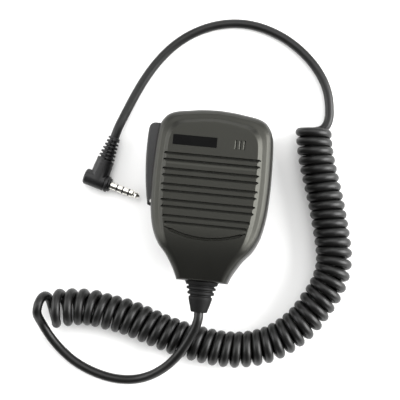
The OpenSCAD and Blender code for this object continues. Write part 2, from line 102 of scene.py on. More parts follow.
def material(name, colour, roughness, metallic=0.0, specular=0.5, tint=(1, 1, 1), mottle=0.15,
             patch=4.0, grain=0.25, bump=0.15, uneven=0.06, depth=0.05):
    """A procedural finish. patch and grain are the sizes of its mottling and its fine texture."""
    made = bpy.data.materials.new(name)
    made.use_nodes = True
    tree = made.node_tree
    shader = tree.nodes["Principled BSDF"]
    shader.inputs["Metallic"].default_value = metallic
    shader.inputs["Specular IOR Level"].default_value = specular
    shader.inputs["Specular Tint"].default_value = (*tint, 1)
    place = tree.nodes.new("ShaderNodeTexCoord").outputs["Object"]

    patches = tree.nodes.new("ShaderNodeTexNoise")
    patches.inputs["Scale"].default_value = 1 / (patch * MM)
    patches.inputs["Detail"].default_value = 3
    tree.links.new(place, patches.inputs["Vector"])
    colours = tree.nodes.new("ShaderNodeValToRGB")
    colours.color_ramp.elements[0].position = 0.3
    colours.color_ramp.elements[0].color = (*(c * (1 - mottle) for c in colour), 1)
    colours.color_ramp.elements[1].position = 0.7
    colours.color_ramp.elements[1].color = (*(c * (1 + mottle) for c in colour), 1)
    tree.links.new(patches.outputs["Fac"], colours.inputs["Fac"])
    tree.links.new(colours.outputs["Color"], shader.inputs["Base Color"])

    grains = tree.nodes.new("ShaderNodeTexNoise")
    grains.inputs["Scale"].default_value = 1 / (grain * MM)
    grains.inputs["Detail"].default_value = 2
    tree.links.new(place, grains.inputs["Vector"])
    gloss = tree.nodes.new("ShaderNodeMapRange")
    gloss.inputs["To Min"].default_value = max(0.02, roughness - uneven)
    gloss.inputs["To Max"].default_value = min(1, roughness + uneven)
    tree.links.new(grains.outputs["Fac"], gloss.inputs["Value"])
    tree.links.new(gloss.outputs["Result"], shader.inputs["Roughness"])
    raised = tree.nodes.new("ShaderNodeBump")
    raised.inputs["Strength"].default_value = bump
    raised.inputs["Distance"].default_value = depth * MM
    tree.links.new(grains.outputs["Fac"], raised.inputs["Height"])
    tree.links.new(raised.outputs["Normal"], shader.inputs["Normal"])
    return made


def weave(name, colour, roughness, pitch):
    """A woven cloth: two crossed sets of threads."""
    made = material(name, colour, roughness, mottle=0.3, patch=1.5)
    tree = made.node_tree
    shader = tree.nodes["Principled BSDF"]
    place = tree.nodes.new("ShaderNodeTexCoord").outputs["Object"]
    heights = []
    for direction in ("X", "Y"):
        threads = tree.nodes.new("ShaderNodeTexWave")
        threads.bands_direction = direction
        threads.inputs["Scale"].default_value = 0.314 / (pitch * MM)
        tree.links.new(place, threads.inputs["Vector"])
        heights.append(threads.outputs["Fac"])
    crossed = tree.nodes.new("ShaderNodeMath")
    crossed.operation = "MAXIMUM"
    tree.links.new(heights[0], crossed.inputs[0])
    tree.links.new(heights[1], crossed.inputs[1])
    raised = tree.nodes.new("ShaderNodeBump")
    raised.inputs["Strength"].default_value = 0.6
    raised.inputs["Distance"].default_value = 0.1 * MM
    tree.links.new(crossed.outputs[0], raised.inputs["Height"])
    tree.links.new(raised.outputs["Normal"], shader.inputs["Normal"])
    return made


def make_finishes():
    """One finish for each of the record's material slots."""
    warm = (1, 1, 0.88)
    return {
        "shell_plastic": material("shell_plastic", (0.0042, 0.0042, 0.0038), 0.4, tint=warm,
                                  specular=0.43, patch=9, mottle=0.1, bump=0.12),
        "rear_plastic": material("rear_plastic", (0.0045, 0.0045, 0.0041), 0.47, tint=warm,
                                 specular=0.55, patch=9, bump=0.2),
        "label_plastic": material("label_plastic", (0.003, 0.003, 0.003), 0.35, specular=0.03,
                                  mottle=0.1, bump=0.02, uneven=0.02),
        "bar_rubber": material("bar_rubber", (0.008, 0.008, 0.0085), 0.55, specular=0.55, grain=0.3,
                               bump=0.3, mottle=0.2, patch=3),
        "relief_rubber": material("relief_rubber", (0.0035, 0.0035, 0.0035), 0.62, specular=0.18,
                                  bump=0.2, patch=3),
        "cord_rubber": material("cord_rubber", (0.003, 0.003, 0.0028), 0.42, specular=0.36,
                                mottle=0.25, patch=2.5, grain=0.5, bump=0.12, uneven=0.09),
        "plug_plastic": material("plug_plastic", (0.0045, 0.0045, 0.005), 0.45, specular=0.42,
                                 bump=0.12, patch=2),
        "pin_metal": material("pin_metal", (0.84, 0.82, 0.76), 0.28, metallic=1, mottle=0.05,
                              bump=0.05, grain=0.4, depth=0.01),
        "pin_black": material("pin_black", (0.01, 0.01, 0.01), 0.35),
        "steel": material("steel", (0.52, 0.51, 0.49), 0.28, metallic=1, mottle=0.12, patch=1.5,
                          bump=0.1, depth=0.02),
        "brass": material("brass", (0.7, 0.5, 0.22), 0.3, metallic=1, mottle=0.1, patch=1.5),
        "clip_plastic": material("clip_plastic", (0.009, 0.009, 0.009), 0.5, specular=0.45,
                                 bump=0.25, patch=6),
        "spring_steel": material("spring_steel", (0.6, 0.59, 0.57), 0.22, metallic=1, mottle=0.1,
                                 patch=0.8),
        "cloth": weave("cloth", (0.012, 0.012, 0.012), 0.85, 0.35),
        "foam": material("foam", (0.02, 0.02, 0.02), 0.95, grain=0.4, bump=0.9, depth=0.15),
        "cone_paper": material("cone_paper", (0.03, 0.029, 0.027), 0.85, mottle=0.35, patch=0.8,
                               bump=0.5),
        "magnet_steel": material("magnet_steel", (0.36, 0.36, 0.37), 0.35, metallic=1, mottle=0.2,
                                 patch=2.5),
        "board_green": material("board_green", (0.012, 0.09, 0.035), 0.38, mottle=0.45, patch=1.2,
                                bump=0.1),
        "chip_black": material("chip_black", (0.015, 0.015, 0.016), 0.5, grain=0.15),
        "switch_black": material("switch_black", (0.006, 0.006, 0.006), 0.5, specular=0.2),
        "plunger_white": material("plunger_white", (0.72, 0.71, 0.67), 0.4, mottle=0.05),
        "wire_yellow": material("wire_yellow", (0.7, 0.45, 0.06), 0.45, mottle=0.1),
        "wire_red": material("wire_red", (0.5, 0.03, 0.02), 0.45, mottle=0.1),
    }


# ---- Shared mesh and curve helpers ----


def spline(points, steps):
    """The CAD model's smooth line through points, with that many steps from each to the next."""
    points = np.array(points, float)
    last = len(points) - 1
    line = []
    for i in range(last):
        a, b = points[max(i - 1, 0)], points[i]
        c, d = points[i + 1], points[min(i + 2, last)]
        for k in range(steps):
            t = k / steps
            line.append(0.5 * (2 * b + (c - a) * t + (2 * a - 5 * b + 4 * c - d) * t**2
                               + (3 * b - a - 3 * c + d) * t**3))
    return np.array(line + [points[last]])


def rounded(profile, radii, steps=4):
    """The profile with corner k, counted from its second point, rounded off over radii[k]."""
    profile = np.array(profile, float)
    line = [profile[0]]
    for before, corner, after, radius in zip(profile, profile[1:], profile[2:], radii):
        if radius == 0:
            line.append(corner)
            continue
        into = before - corner
        out = after - corner
        start = corner + into * min(0.5, radius / np.linalg.norm(into[:2]))
        end = corner + out * min(0.5, radius / np.linalg.norm(out[:2]))
        for k in range(steps + 1):
            t = k / steps
            line.append((1 - t) ** 2 * start + 2 * t * (1 - t) * corner + t**2 * end)
    return line + [profile[-1]]


def subdivided(profile, longest):
    """The profile with points added so that no step in its first value is longer than that."""
    line = [profile[0]]
    for a, b in zip(profile, profile[1:]):
        steps = max(1, math.ceil(abs(b[0] - a[0]) / longest))
        line += [a + (b - a) * k / steps for k in range(1, steps + 1)]
    return line


def mesh_piece(name, points, faces, slot, body="handset", sharp=32):
    """A mesh piece from points in millimetres, smooth but for edges over sharp degrees."""
    mesh = bpy.data.meshes.new(name)
    mesh.from_pydata([tuple(float(c) * MM for c in p) for p in points], [], faces)
    work = bmesh.new()
    work.from_mesh(mesh)
    bmesh.ops.remove_doubles(work, verts=work.verts, dist=0.0005 * MM)
    bmesh.ops.dissolve_degenerate(work, edges=work.edges, dist=0.0002 * MM)
    bmesh.ops.recalc_face_normals(work, faces=work.faces)
    work.to_mesh(mesh)
    work.free()
    piece = bpy.data.objects.new(name, mesh)
    bpy.context.scene.collection.objects.link(piece)
    finish(piece, slot, sharp)
    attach(piece, body)
    return piece


def finish(piece, slot, sharp=32):
    piece.data.shade_smooth()
    piece.data.set_sharp_from_angle(angle=math.radians(sharp))
    piece.data.materials.clear()
    piece.data.materials.append(FINISHES[slot])


def bridge(first, second, count, closed=True):
    """Quads between two rings of count points that start at those indices."""
    last = count if closed else count - 1
    return [(first + k, first + (k + 1) % count, second + (k + 1) % count, second + k)
            for k in range(last)]


def mirror_cap(first, count):
    """Faces across a ring that is symmetric about X = 0 and starts on that line."""
    half = count // 2
    faces = [(first, first + 1, first + count - 1)]
    for k in range(1, half - 1):
        faces.append((first + k, first + k + 1, first + count - k - 1, first + count - k))
    faces.append((first + half - 1, first + half, first + half + 1))
    return faces


def loft(rings, cap=None):
    """Points and faces of a closed solid through rings with equal counts."""
    count = len(rings[0])
    points = [p for ring in rings for p in ring]
    faces = []
    for k in range(len(rings) - 1):
        faces += bridge(k * count, (k + 1) * count, count)
    top = (len(rings) - 1) * count
    if cap is None:
        faces += [tuple(range(count)), tuple(range(top, top + count))]
    else:
        faces += cap(0, count) + cap(top, count)
    return points, faces


def revolved(profile, sides, place):
    """Points and faces of a turned solid. profile's ends are on the axis, place puts (r, a, s)."""
    points, faces = [place(0, 0, profile[0][1])], []
    rings = profile[1:-1]
    for radius, along in rings:
        points += [place(radius, 2 * math.pi * k / sides, along) for k in range(sides)]
    points.append(place(0, 0, profile[-1][1]))
    for k in range(sides):
        faces.append((0, 1 + k, 1 + (k + 1) % sides))
        end = 1 + (len(rings) - 1) * sides
        faces.append((len(points) - 1, end + k, end + (k + 1) % sides))
    for j in range(len(rings) - 1):
        faces += bridge(1 + j * sides, 1 + (j + 1) * sides, sides)
    return points, faces


# ---- Cord ----

CORD_R = 2.2
COIL_R = 6.5
# The helix keeps these distances from the ends of its route, and starts at this angle from the top
HELIX_MARGINS = (8.4, 1.5)
HELIX_ANGLE = -110
HELIX_STEP = 15
# The stretch of the route over which the turns close up, and the pitch before and after it
CLOSING = (150, 185)
LOOSE_PITCH = 4.88
CLOSE_PITCH = 4.42
# The first turns are wider and further apart by this much, which dies away over this length
EXTRA_RADIUS = 0.9
EXTRA_PITCH = 1.15
EXTRA_LENGTH = 10
# Smoothing passes on the leads, where one rises, and on the loop before the first turn
LEAD_EASING = 60
RISE_EASING = 16
LOOP_EASING = 4
# part.scad's routes, but the last three heights of the handset's lead are raised here, and
# LAST_LOOP and the plug lead's first two points stand for the first four of part.scad's
HANDSET_ROUTE = [
    (0, -54.6, 24), (0, -57.6, 24), (-1, -62, 23), (-2.8, -66.5, 21.2), (-5, -71, 20),
    (-7.5, -75, 18.4), (-10.7, -79.4, 15.4), (-15.3, -83.6, 11.5), (-22, -88.1, 6.5),
    (-30, -90.9, 3.4), (-38, -91.4, 2.2), (-46, -90.2, 2.2), (-54, -87.6, 2.2),
    (-62, -83.6, 2.2), (-69, -78, 2.8), (-74, -72.3, 4.7), (-77, -67, 7.9),
]
# The loop that leads from the handset's lead into the first turn
FIRST_LOOP = [
    (-78.1, -65.2, 10.5), (-78.4, -63.2, 13.3), (-78.2, -60.4, 14.5), (-77.7, -57.3, 13.7),
    (-76.9, -55.1, 11.4), (-76, -54.3, 8.4), (-75, -55.1, 5.3), (-74, -57.3, 3.1),
    (-72.9, -60.4, 2.2), (-71.4, -63.8, 3.4),
]
COIL_ROUTE = [
    (-79, -61.5), (-74, -60.8), (-69, -59.8), (-63.5, -58.7), (-58, -58), (-52.5, -57.9),
    (-45.5, -59), (-36, -60.5), (-27, -63), (-18.5, -65.7), (-10, -68), (0.5, -70),
    (11, -71), (21, -70.5), (33, -67), (41.5, -61.5), (49, -54), (54, -46), (58, -38.5),
    (60.3, -31), (60.8, -24), (59.5, -15.5), (57.3, -7), (55, 1.5), (52.3, 10),
    (49.5, 18.5), (46.8, 28), (45, 38.5),
]
# The last turn goes under itself, and out to the right
LAST_LOOP = [(40.5, 36.6, 4.3), (45, 37.4, 2.2), (49.3, 38.8, 2.2)]
PLUG_ROUTE = [
    (51.4, 41.8), (52.1, 46), (52, 51), (50.5, 57.5), (46.5, 65), (40, 72.5), (31, 79.5),
    (20.5, 84.5), (10, 87), (1, 87), (-8, 85), (-16, 81.5), (-23.5, 76.5), (-30.5, 69.5),
    (-36.5, 61), (-41, 52.5), (-44.5, 44.5),
]
PLUG_RISE = (-47.3, 37, 3)
PLUG_ENTRY = 5
PLUG_POS = Vector((-57, 3.8, 4))
PLUG_ANGLE = math.radians(-15.5)
BOOT_DIRECTION = Vector((-math.sin(PLUG_ANGLE), math.cos(PLUG_ANGLE), 0))
PIN_DIRECTION = Vector((math.cos(PLUG_ANGLE), math.sin(PLUG_ANGLE), 0))
BOOT_LEN = 22.5


def smooth_line(points, step):
    """Points about step apart on a centripetal Catmull-Rom line through the given ones."""
    points = [Vector(p) for p in points]
    points = [2 * points[0] - points[1], *points, 2 * points[-1] - points[-2]]
    line = []
    for a, b, c, d in zip(points, points[1:], points[2:], points[3:]):
        t1 = math.sqrt((b - a).length)
        t2 = t1 + math.sqrt((c - b).length)
        t3 = t2 + math.sqrt((d - c).length)
        count = max(1, round((c - b).length / step))
        for k in range(count):
            t = t1 + (t2 - t1) * k / count
            ab = a.lerp(b, t / t1)
            bc = b.lerp(c, (t - t1) / (t2 - t1))
            cd = c.lerp(d, (t - t2) / (t3 - t2))
            abc = ab.lerp(bc, t / t2)
            bcd = bc.lerp(cd, (t - t1) / (t3 - t1))
            line.append(abc.lerp(bcd, (t - t1) / (t2 - t1)))
    return line + [points[-2]]


def coil_turns():
    """The curly stretch: a left-handed helix along COIL_ROUTE, lying on the surface."""
    route = np.array(smooth_line([(x, y, 0) for x, y in COIL_ROUTE], 0.5))
    along = np.concatenate([[0], np.cumsum(np.linalg.norm(np.diff(route, axis=0), axis=1))])

    def at(s):
        return Vector([np.interp(s, along, route[:, k]) for k in range(3)])

    start = HELIX_MARGINS[0]
    end = along[-1] - HELIX_MARGINS[1]
    turns = []
    s = start
    angle = HELIX_ANGLE
    while s < end:
        ahead = (at(s + 1) - at(s - 1)).normalized()
        left = Vector((-ahead.y, ahead.x, 0))
        opening = math.exp(-(s - start) / EXTRA_LENGTH)
        radius = COIL_R + EXTRA_RADIUS * opening
        turn = math.radians(angle)
        lift = Vector((0, 0, radius * math.cos(turn) + radius + CORD_R))
        turns.append(at(s) + left * radius * math.sin(turn) + lift)
        k = min(1, max(0, (s - CLOSING[0]) / (CLOSING[1] - CLOSING[0])))
        closed = k * k * (3 - 2 * k)
        pitch = LOOSE_PITCH + (CLOSE_PITCH - LOOSE_PITCH) * closed + EXTRA_PITCH * opening
        s += pitch * HELIX_STEP / 360
        angle += HELIX_STEP
    return turns


def eased(line, first, last, passes):
    """The line with its small bends smoothed out between its points nearest first and last."""
    start, end = (min(range(len(line)), key=lambda k: (line[k] - Vector(place)).length)
                  for place in (first, last))
    line = list(line)
    for _ in range(passes):
        inner = [(line[k - 1] + 2 * line[k] + line[k + 1]) / 4 for k in range(start + 1, end)]
        line[start + 1:end] = inner
    return line


def make_cord():
    ends = [PLUG_POS + BOOT_DIRECTION * w for w in (BOOT_LEN + PLUG_ENTRY, BOOT_LEN)]
    lead = [(x, y, CORD_R) for x, y in PLUG_ROUTE]
    turns = coil_turns()
    route = [*HANDSET_ROUTE, *FIRST_LOOP, *turns, *LAST_LOOP, *lead, PLUG_RISE, *ends]
    line = smooth_line(route, 1)
    line = eased(line, HANDSET_ROUTE[2], HANDSET_ROUTE[-1], LEAD_EASING)
    line = eased(line, lead[1], PLUG_RISE, LEAD_EASING)
    line = eased(line, HANDSET_ROUTE[-4], FIRST_LOOP[1], RISE_EASING)
    line = eased(line, HANDSET_ROUTE[-2], turns[2], LOOP_EASING)
    data = bpy.data.curves.new("cord", "CURVE")
    data.dimensions = "3D"
    data.bevel_depth = CORD_R * MM
    data.bevel_resolution = 5
    data.use_fill_caps = True
    path = data.splines.new("POLY")
    path.points.add(len(line) - 1)
    for point, place in zip(path.points, line):
        point.co = (*(place * MM), 1)
    path.use_smooth = True
    data.materials.append(FINISHES["cord_rubber"])
    cord = bpy.data.objects.new("cord", data)
    bpy.context.scene.collection.objects.link(cord)
    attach(cord, "handset")
    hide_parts("handset_lead", "curly_cord", "plug_lead")
    length = sum((b - a).length for a, b in zip(line, line[1:]))
    return cord, round(length * MM, 3)


# ---- Case ----

HALF = [
    (0, 40.2), (7, 39.8), (13, 39), (19, 38), (22.8, 36.3), (25.2, 33.5), (26.6, 30),
    (27.2, 24), (27.6, 13), (27.6, 4), (27, -7), (25.1, -17), (21.9, -24), (17.8, -29),
    (14.6, -34), (12.6, -38), (11.8, -40.2),
]
HALF_W = 27.6
HALF_H = 40.2
BACK_Z = 11.6
SPLIT_Z = 24
FRONT_Z = 38
FRONT_LOW = 0.15
REAR_LOW = 0.4
SAG_START = -16
SAG_DROP = 5
PANEL_INSET = 6.7
# The bevel's creases fade out between these heights, into one rounding from this inset inwards
FADE_Y = (-14, -27)
BEVEL_START = 0.7
BEVEL_DROP = 4
BEVEL_POWER = 0.9

SLIT_DEPTH = 1.9
GROOVE_END = 0.9
GROOVE_TOP_Y = 17.5
PAIR_PITCH = 7.25
PAIR_GAP = 3.05
GROOVE_HALF = [22.5, 22.5, 22.5, 22.4, 22.4, 22.2, 22, 21.6, 20.4, 19.2]
SMILE_R = 44.6
SMILE_Y = -20.5
SMILE_HALF = 17.2
SMILE_END = 1.5
# The curved groove is all below this height
SMILE_TOP = -10
LABEL_POS = (-8.7, 24.3)
LABEL_HALF = (10.3, 2.35)
LABEL_DEPTH = 0.5
MIC_POS = (12.4, 24.3)
MIC_PITCH = 2
MIC_HALF = 2.15
MIC_END = 0.35

POCKET_X = -24.9
POCKET_Y = (-8.2, 32.7)
POCKET_Z = (16.6, 31.4)
BACKING_X = -23.3
BACKING_Y = (-9.8, 34.3)
BACKING_Z = (15, 33)
JACK_Y = 12
JACK_HOLE_R = 3.2
SCREWS = [(19.5, 32), (-19.5, 32), (11, -28), (-11, -28)]
SCREW_HOLE_R = 2.6
SCREW_HOLE_DEPTH = 1.8
SWIVEL_Y = 4
PAD_R = 8.5
PAD_EDGE = 0.35
PAD_DEPTH = 0.4

FINE_HALF = spline(HALF, 24)


def groove_y(i):
    return GROOVE_TOP_Y - (i // 2) * PAIR_PITCH - (i % 2) * PAIR_GAP


def sag(y):
    return SAG_DROP * (np.maximum(0, SAG_START - y) / (HALF_H + SAG_START)) ** 2


def half_width(y):
    return np.interp(y, FINE_HALF[::-1, 1], FINE_HALF[::-1, 0])


def case_outline(side_rows):
    """The whole outline, clockwise from the middle of the top, with points at those heights."""
    corner_y = 33.4
    top = [tuple(p) for p in spline(HALF, 10) if p[1] > corner_y]
    side = [(float(half_width(y)), y) for y in sorted(side_rows, reverse=True) if y <= corner_y]
    bottom = [(x, -HALF_H) for x in np.linspace(11.8, 0, 13)[1:]]
    right = top + side + [(11.8, -HALF_H)] + bottom
    left = [(-x, y) for x, y in reversed(right[1:-1])]
    return np.array(right + left)


def faded(ring, inset):
    """A front ring whose creased bevel turns into one soft rounding towards the bottom."""
    x, y, z = ring[:, 0], ring[:, 1], ring[:, 2]
    if inset < BEVEL_START:
        return ring
    fade = np.clip((FADE_Y[0] - y) / (FADE_Y[0] - FADE_Y[1]), 0, 1)
    fade = fade**2 * (3 - 2 * fade)
    reach = (PANEL_INSET - inset) / (PANEL_INSET - BEVEL_START)
    drop = BEVEL_DROP * (1 - math.sqrt(1 - reach**2)) ** BEVEL_POWER
    soft = FRONT_Z - sag(y) - drop
    return np.stack([x, y, z + (soft - z) * fade], axis=1)


def case_ring(outline, level, low):
    """The outline drawn in by level's inset, at level's height less its share of the sag."""
    inset, z, share = level
    shrink = inset / HALF_H * np.where(outline[:, 1] > 0, 1, low)
    x = outline[:, 0] * (1 - inset / HALF_W)
    y = outline[:, 1] * (1 - shrink)
    return np.stack([x, y, z - share * sag(y)], axis=1)


def groove_cut(across):
    """Depth of a groove's section: a long lower slope, then a deep slit under the upper edge."""
    places = [-0.85, 0.3, 0.34, 0.78, 0.84]
    return np.interp(across, places, [0, 0.75, SLIT_DEPTH, SLIT_DEPTH, 0])


def smile_cut(across):
    """Depth of the curved groove's section."""
    return np.interp(across, [-0.7, -0.4, 0.4, 0.7], [0, 1.8, 1.8, 0])


def slot_cut(across):
    """Depth of a microphone slot's section: a sloping left wall, then a deep, narrow pit."""
    return np.interp(across, [-0.5, -0.05, 0.02, 0.36, 0.42], [0, 0.34, 1.7, 1.7, 0])


def carved(points):
    """Points of the front's surface, with the grooves, slots and label pocket cut into it."""
    x, y, z = points[:, 0], points[:, 1], points[:, 2]
    panel = FRONT_Z - sag(y)
    for i, half in enumerate(GROOVE_HALF):
        beyond = np.clip((np.abs(x) - half + GROOVE_END) / GROOVE_END, 0, 1)
        width = np.sqrt(np.maximum(1e-6, 1 - beyond**2))
        across = (y - groove_y(i)) / width
        z = np.minimum(z, panel - groove_cut(across) * np.where(beyond < 1, 1, 0))
    off = np.hypot(x, y - SMILE_Y - SMILE_R) - SMILE_R
    ends = np.clip((SMILE_HALF - np.abs(x)) / SMILE_END, 0, 1)
    smile = smile_cut(off / np.sqrt(np.maximum(1e-6, ends)))
    z = np.minimum(z, panel - np.where(y < SMILE_TOP, smile, 0))
    for k in (-1, 0, 1):
        across = x - MIC_POS[0] - k * MIC_PITCH
        ends = np.clip((MIC_HALF - np.abs(y - MIC_POS[1])) / MIC_END, 0, 1)
        z = np.minimum(z, panel - slot_cut(across) * ends)
    inside = (np.abs(x - LABEL_POS[0]) < LABEL_HALF[0]) & (np.abs(y - LABEL_POS[1]) < LABEL_HALF[1])
    z = np.where(inside, FRONT_Z - LABEL_DEPTH, z)
    return np.stack([x, y, z], axis=1)


def panel_rows():
    """Heights of the panel's grid rows, close together where something is cut into it."""
    rows = list(np.arange(-39, 34, 1.2))
    for i in range(len(GROOVE_HALF)):
        offsets = [-0.86, -0.6, -0.3, 0, 0.27, 0.3, 0.34, 0.5, 0.65, 0.78, 0.84]
        rows += [groove_y(i) + d for d in offsets]
    rows += [LABEL_POS[1] + s * (LABEL_HALF[1] + d) for s in (-1, 1) for d in (-0.03, 0.03)]
    rows += [MIC_POS[1] + s * (MIC_HALF - d) for s in (-1, 1) for d in (0, 0.1, 0.2, MIC_END)]
    return thinned(rows)


def panel_columns():
    columns = list(np.arange(-26, 26.1, 1.0))
    columns += [s * c for s in (-1, 1) for c in np.arange(18, 22.6, 0.3)]
    columns += [LABEL_POS[0] + s * (LABEL_HALF[0] + d) for s in (-1, 1) for d in (-0.03, 0.03)]
    for k in (-1, 0, 1):
        offsets = [-0.5, -0.28, -0.05, 0.02, 0.19, 0.36, 0.42]
        columns += [MIC_POS[0] + k * MIC_PITCH + d for d in offsets]
    return thinned(columns)


def thinned(values):
    """The values in order, without those closer than 0.02 to the one before."""
    kept = []
    for value in sorted(float(v) for v in values):
        if not kept or value - kept[-1] > 0.02:
            kept.append(value)
    return kept


def smile_points():
    """Points along the curved groove, in lines that follow it."""
    found = []
    for off in (-1, -0.7, -0.55, -0.4, -0.2, 0, 0.2, 0.4, 0.55, 0.7, 1):
        radius = SMILE_R + off
        for x in np.arange(-18.2, 18.3, 0.45):
            found.append((x, SMILE_Y + SMILE_R - math.sqrt(radius**2 - x**2)))
    return found


def filled(ring, extra, height):
    """Points and triangles across the inside of a ring, through the extra points inside it."""
    count = len(ring)
    flat = [Vector((float(x), float(y))) for x, y, z in ring]
    flat += [Vector((float(x), float(y))) for x, y in extra]
    points, edges, faces, sources, _, _ = delaunay_2d_cdt(flat, [], [list(range(count))], 1, 1e-6)
    index, added = [], []
    for point, source in zip(points, sources):
        first = min(source) if source else count
        if first < count:
            index.append(first)
        else:
            index.append(count + len(added))
            added.append((point.x, point.y))
    added = height(np.array(added))
    return added, [tuple(index[k] for k in face) for face in faces]


def notched(ring, side):
    """A rim ring with the round opening of the earphone jack, above or below the split."""
    x, y, z = ring[:, 0], ring[:, 1], ring[:, 2]
    room = JACK_HOLE_R**2 - (y - JACK_Y) ** 2
    bite = np.sqrt(np.maximum(0, room))
    z = np.where((x > 0) & (room > 0), SPLIT_Z + side * bite, z)
    return np.stack([x, y, z], axis=1)


def pocketed(ring):
    """A ring of the outer wall with the talk bar's pocket pressed into it."""
    x, y, z = ring[:, 0], ring[:, 1], ring[:, 2]
    inside = (y > POCKET_Y[0]) & (y < POCKET_Y[1]) & (z > POCKET_Z[0]) & (z < POCKET_Z[1])
    return np.stack([np.where(inside, np.maximum(x, POCKET_X), x), y, z], axis=1)


def backed(ring):
    """A ring of the inner wall, kept clear of the pocket."""
    x, y, z = ring[:, 0], ring[:, 1], ring[:, 2]
    inside = (y > BACKING_Y[0]) & (y < BACKING_Y[1]) & (z > BACKING_Z[0]) & (z < BACKING_Z[1])
    return np.stack([np.where(inside, np.maximum(x, BACKING_X), x), y, z], axis=1)


def shell(name, slot, outer, inner, extra, height):
    """A closed shell: outer and inner rings from the rim up, and a face across the last outer."""
    count = len(outer[0])
    points = [p for ring in inner[::-1] + outer for p in ring]
    faces = mirror_cap(0, count)
    for k in range(len(inner) + len(outer) - 1):
        faces += bridge(k * count, (k + 1) * count, count)
    added, across = filled(outer[-1], extra, height)
    base = (len(inner) + len(outer) - 1) * count
    faces += [tuple(base + k for k in face) for face in across]
    return mesh_piece(name, [*points, *added], faces, slot)


def side_heights(rows, low):
    """Outline heights whose points land on the panel's rows, and on the pocket's ends."""
    heights = [y / (1 - PANEL_INSET / HALF_H * (1 if y > 0 else low)) for y in rows]
    heights += [y + d for y in POCKET_Y for d in (-0.03, 0.03)]
    heights += [JACK_Y + JACK_HOLE_R * s for s in (-1, -0.97, -0.9, 0.9, 0.97, 1)]
    heights += list(np.arange(-40, 33.4, 0.6))
    return [y for y in thinned(heights) if y > -HALF_H + 0.1]


def inside_ring(ring, margin):
    """A test for points inside a ring by at least about margin."""
    half = len(ring) // 2
    right = ring[: half + 1]
    top, low = right[0][1], right[-1][1]

    def test(x, y):
        if not low + margin < y < top - margin:
            return False
        width = min(np.interp(v, right[::-1, 1], right[::-1, 0]) for v in (y, y + margin))
        return abs(x) < width - margin

    return test


def make_front_shell():
    rows = panel_rows()
    outline = case_outline(side_heights(rows, FRONT_LOW))
    profile = rounded([
        (0.25, 24, 0), (0, 24.25, 0), (0, 28, 0.3), (0, 31.35, 0.6), (0, 31.42, 0.6),
        (0.7, 34, 0.8), (2.3, 35.6, 0.95), (4.6, 36.5, 1), (6.3, 38, 1), (PANEL_INSET, 38, 1),
    ], [0, 0, 0, 0, 0.9, 0.3, 0.3, 0.3])
    levels = subdivided(profile, 0.22)
    outer = [faded(case_ring(outline, level, FRONT_LOW), level[0]) for level in levels]
    outer = [pocketed(carved(ring)) for ring in outer]
    outer[0] = notched(outer[0], 1)
    inner = [case_ring(outline, level, 1) for level in
             [(2.2, 24, 0), (2, 31, 0.6), (3.6, 33.8, 0.85), (6.4, 35.9, 1)]]
    inner = [backed(ring) for ring in inner]
    inner[0] = notched(inner[0], 1)
    test = inside_ring(outer[-1], 0.12)
    smile = smile_points()
    extra = [(x, y) for y in rows for x in panel_columns() if test(x, y)
             and not (y < SMILE_TOP and abs(x) < 18.4
                      and abs(math.hypot(x, y - SMILE_Y - SMILE_R) - SMILE_R) < 1.15)]
    extra += [(x, y) for x, y in smile if test(x, y)]

    def height(flat):
        z = FRONT_Z - sag(flat[:, 1])
        return carved(np.column_stack([flat, z]))

    front = shell("front_shell_skin", "shell_plastic", outer, inner, extra, height)
    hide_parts("front_shell")


def make_rear_shell():
    outline = case_outline(side_heights([0], REAR_LOW))
    profile = rounded([
        (0.25, 24, 0), (0, 23.75, 0), (0, 20, 0), (0, 16.62, 0), (0, 16.58, 0), (0, 14.6, 0),
        (1.1, 12.5, 0), (3.2, 11.6, 0), (3.6, 11.6, 0),
    ], [0, 0, 0, 0, 0.8, 0.7, 0.3])

    def sunk(points):
        x, y, z = points[:, 0], points[:, 1], points[:, 2]
        for sx, sy in SCREWS:
            hole = np.hypot(x - sx, y - sy) < SCREW_HOLE_R
            z = np.where(hole, BACK_Z + SCREW_HOLE_DEPTH, z)
        pad = np.clip((PAD_R - np.hypot(x, y - SWIVEL_Y)) / PAD_EDGE, 0, 1)
        return np.stack([x, y, z - PAD_DEPTH * pad], axis=1)

    outer = [case_ring(outline, level, REAR_LOW) for level in subdivided(profile, 0.22)]
    outer = [pocketed(sunk(ring)) for ring in outer]
    outer[0] = notched(outer[0], -1)
    inner_levels = [(2.2, 24, 0), (2, 15.6, 0), (4.6, 13.6, 0)]
    inner = [case_ring(outline, level, 1) for level in inner_levels]
    inner = [backed(ring) for ring in inner]
    inner[0] = notched(inner[0], -1)
    test = inside_ring(outer[-1], 0.25)
    circles = [(sx, sy, r) for sx, sy in SCREWS for r in (SCREW_HOLE_R - 0.03, SCREW_HOLE_R + 0.03)]
    circles += [(0, SWIVEL_Y, PAD_R - PAD_EDGE), (0, SWIVEL_Y, PAD_R)]
    extra = [(x, y) for y in np.arange(-38, 38, 2.5) for x in np.arange(-24, 25, 2.5)
             if all(abs(math.hypot(x - cx, y - cy) - r) > 0.6 for cx, cy, r in circles)]
    for cx, cy, r in circles:
        extra += [(cx + r * math.cos(a), cy + r * math.sin(a))
                  for a in np.linspace(0, 2 * math.pi, 64, endpoint=False)]
    extra = [(x, y) for x, y in extra if test(x, y)]

    def height(flat):
        return sunk(np.column_stack([flat, np.full(len(flat), BACK_Z)]))

    rear = shell("rear_shell_skin", "rear_plastic", outer, inner, extra, height)
    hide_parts("rear_shell")


# ---- Talk bar ----

BAR_FACE = [
    (-26.4, 32), (-29.2, 32), (-31, 30.6), (-31.6, 27), (-31.6, 17), (-30.9, 7), (-29.8, -1),
    (-29, -5.2), (-28.4, -6.8), (-25.3, -7),
]
BAR_Z = (17, 31)
# The bar stands out of the case beyond this X, and from this height down it is painted black as
# shade at its foot
PROUD_X = -26.9
PAINTED_SHADE_Y = -4.9


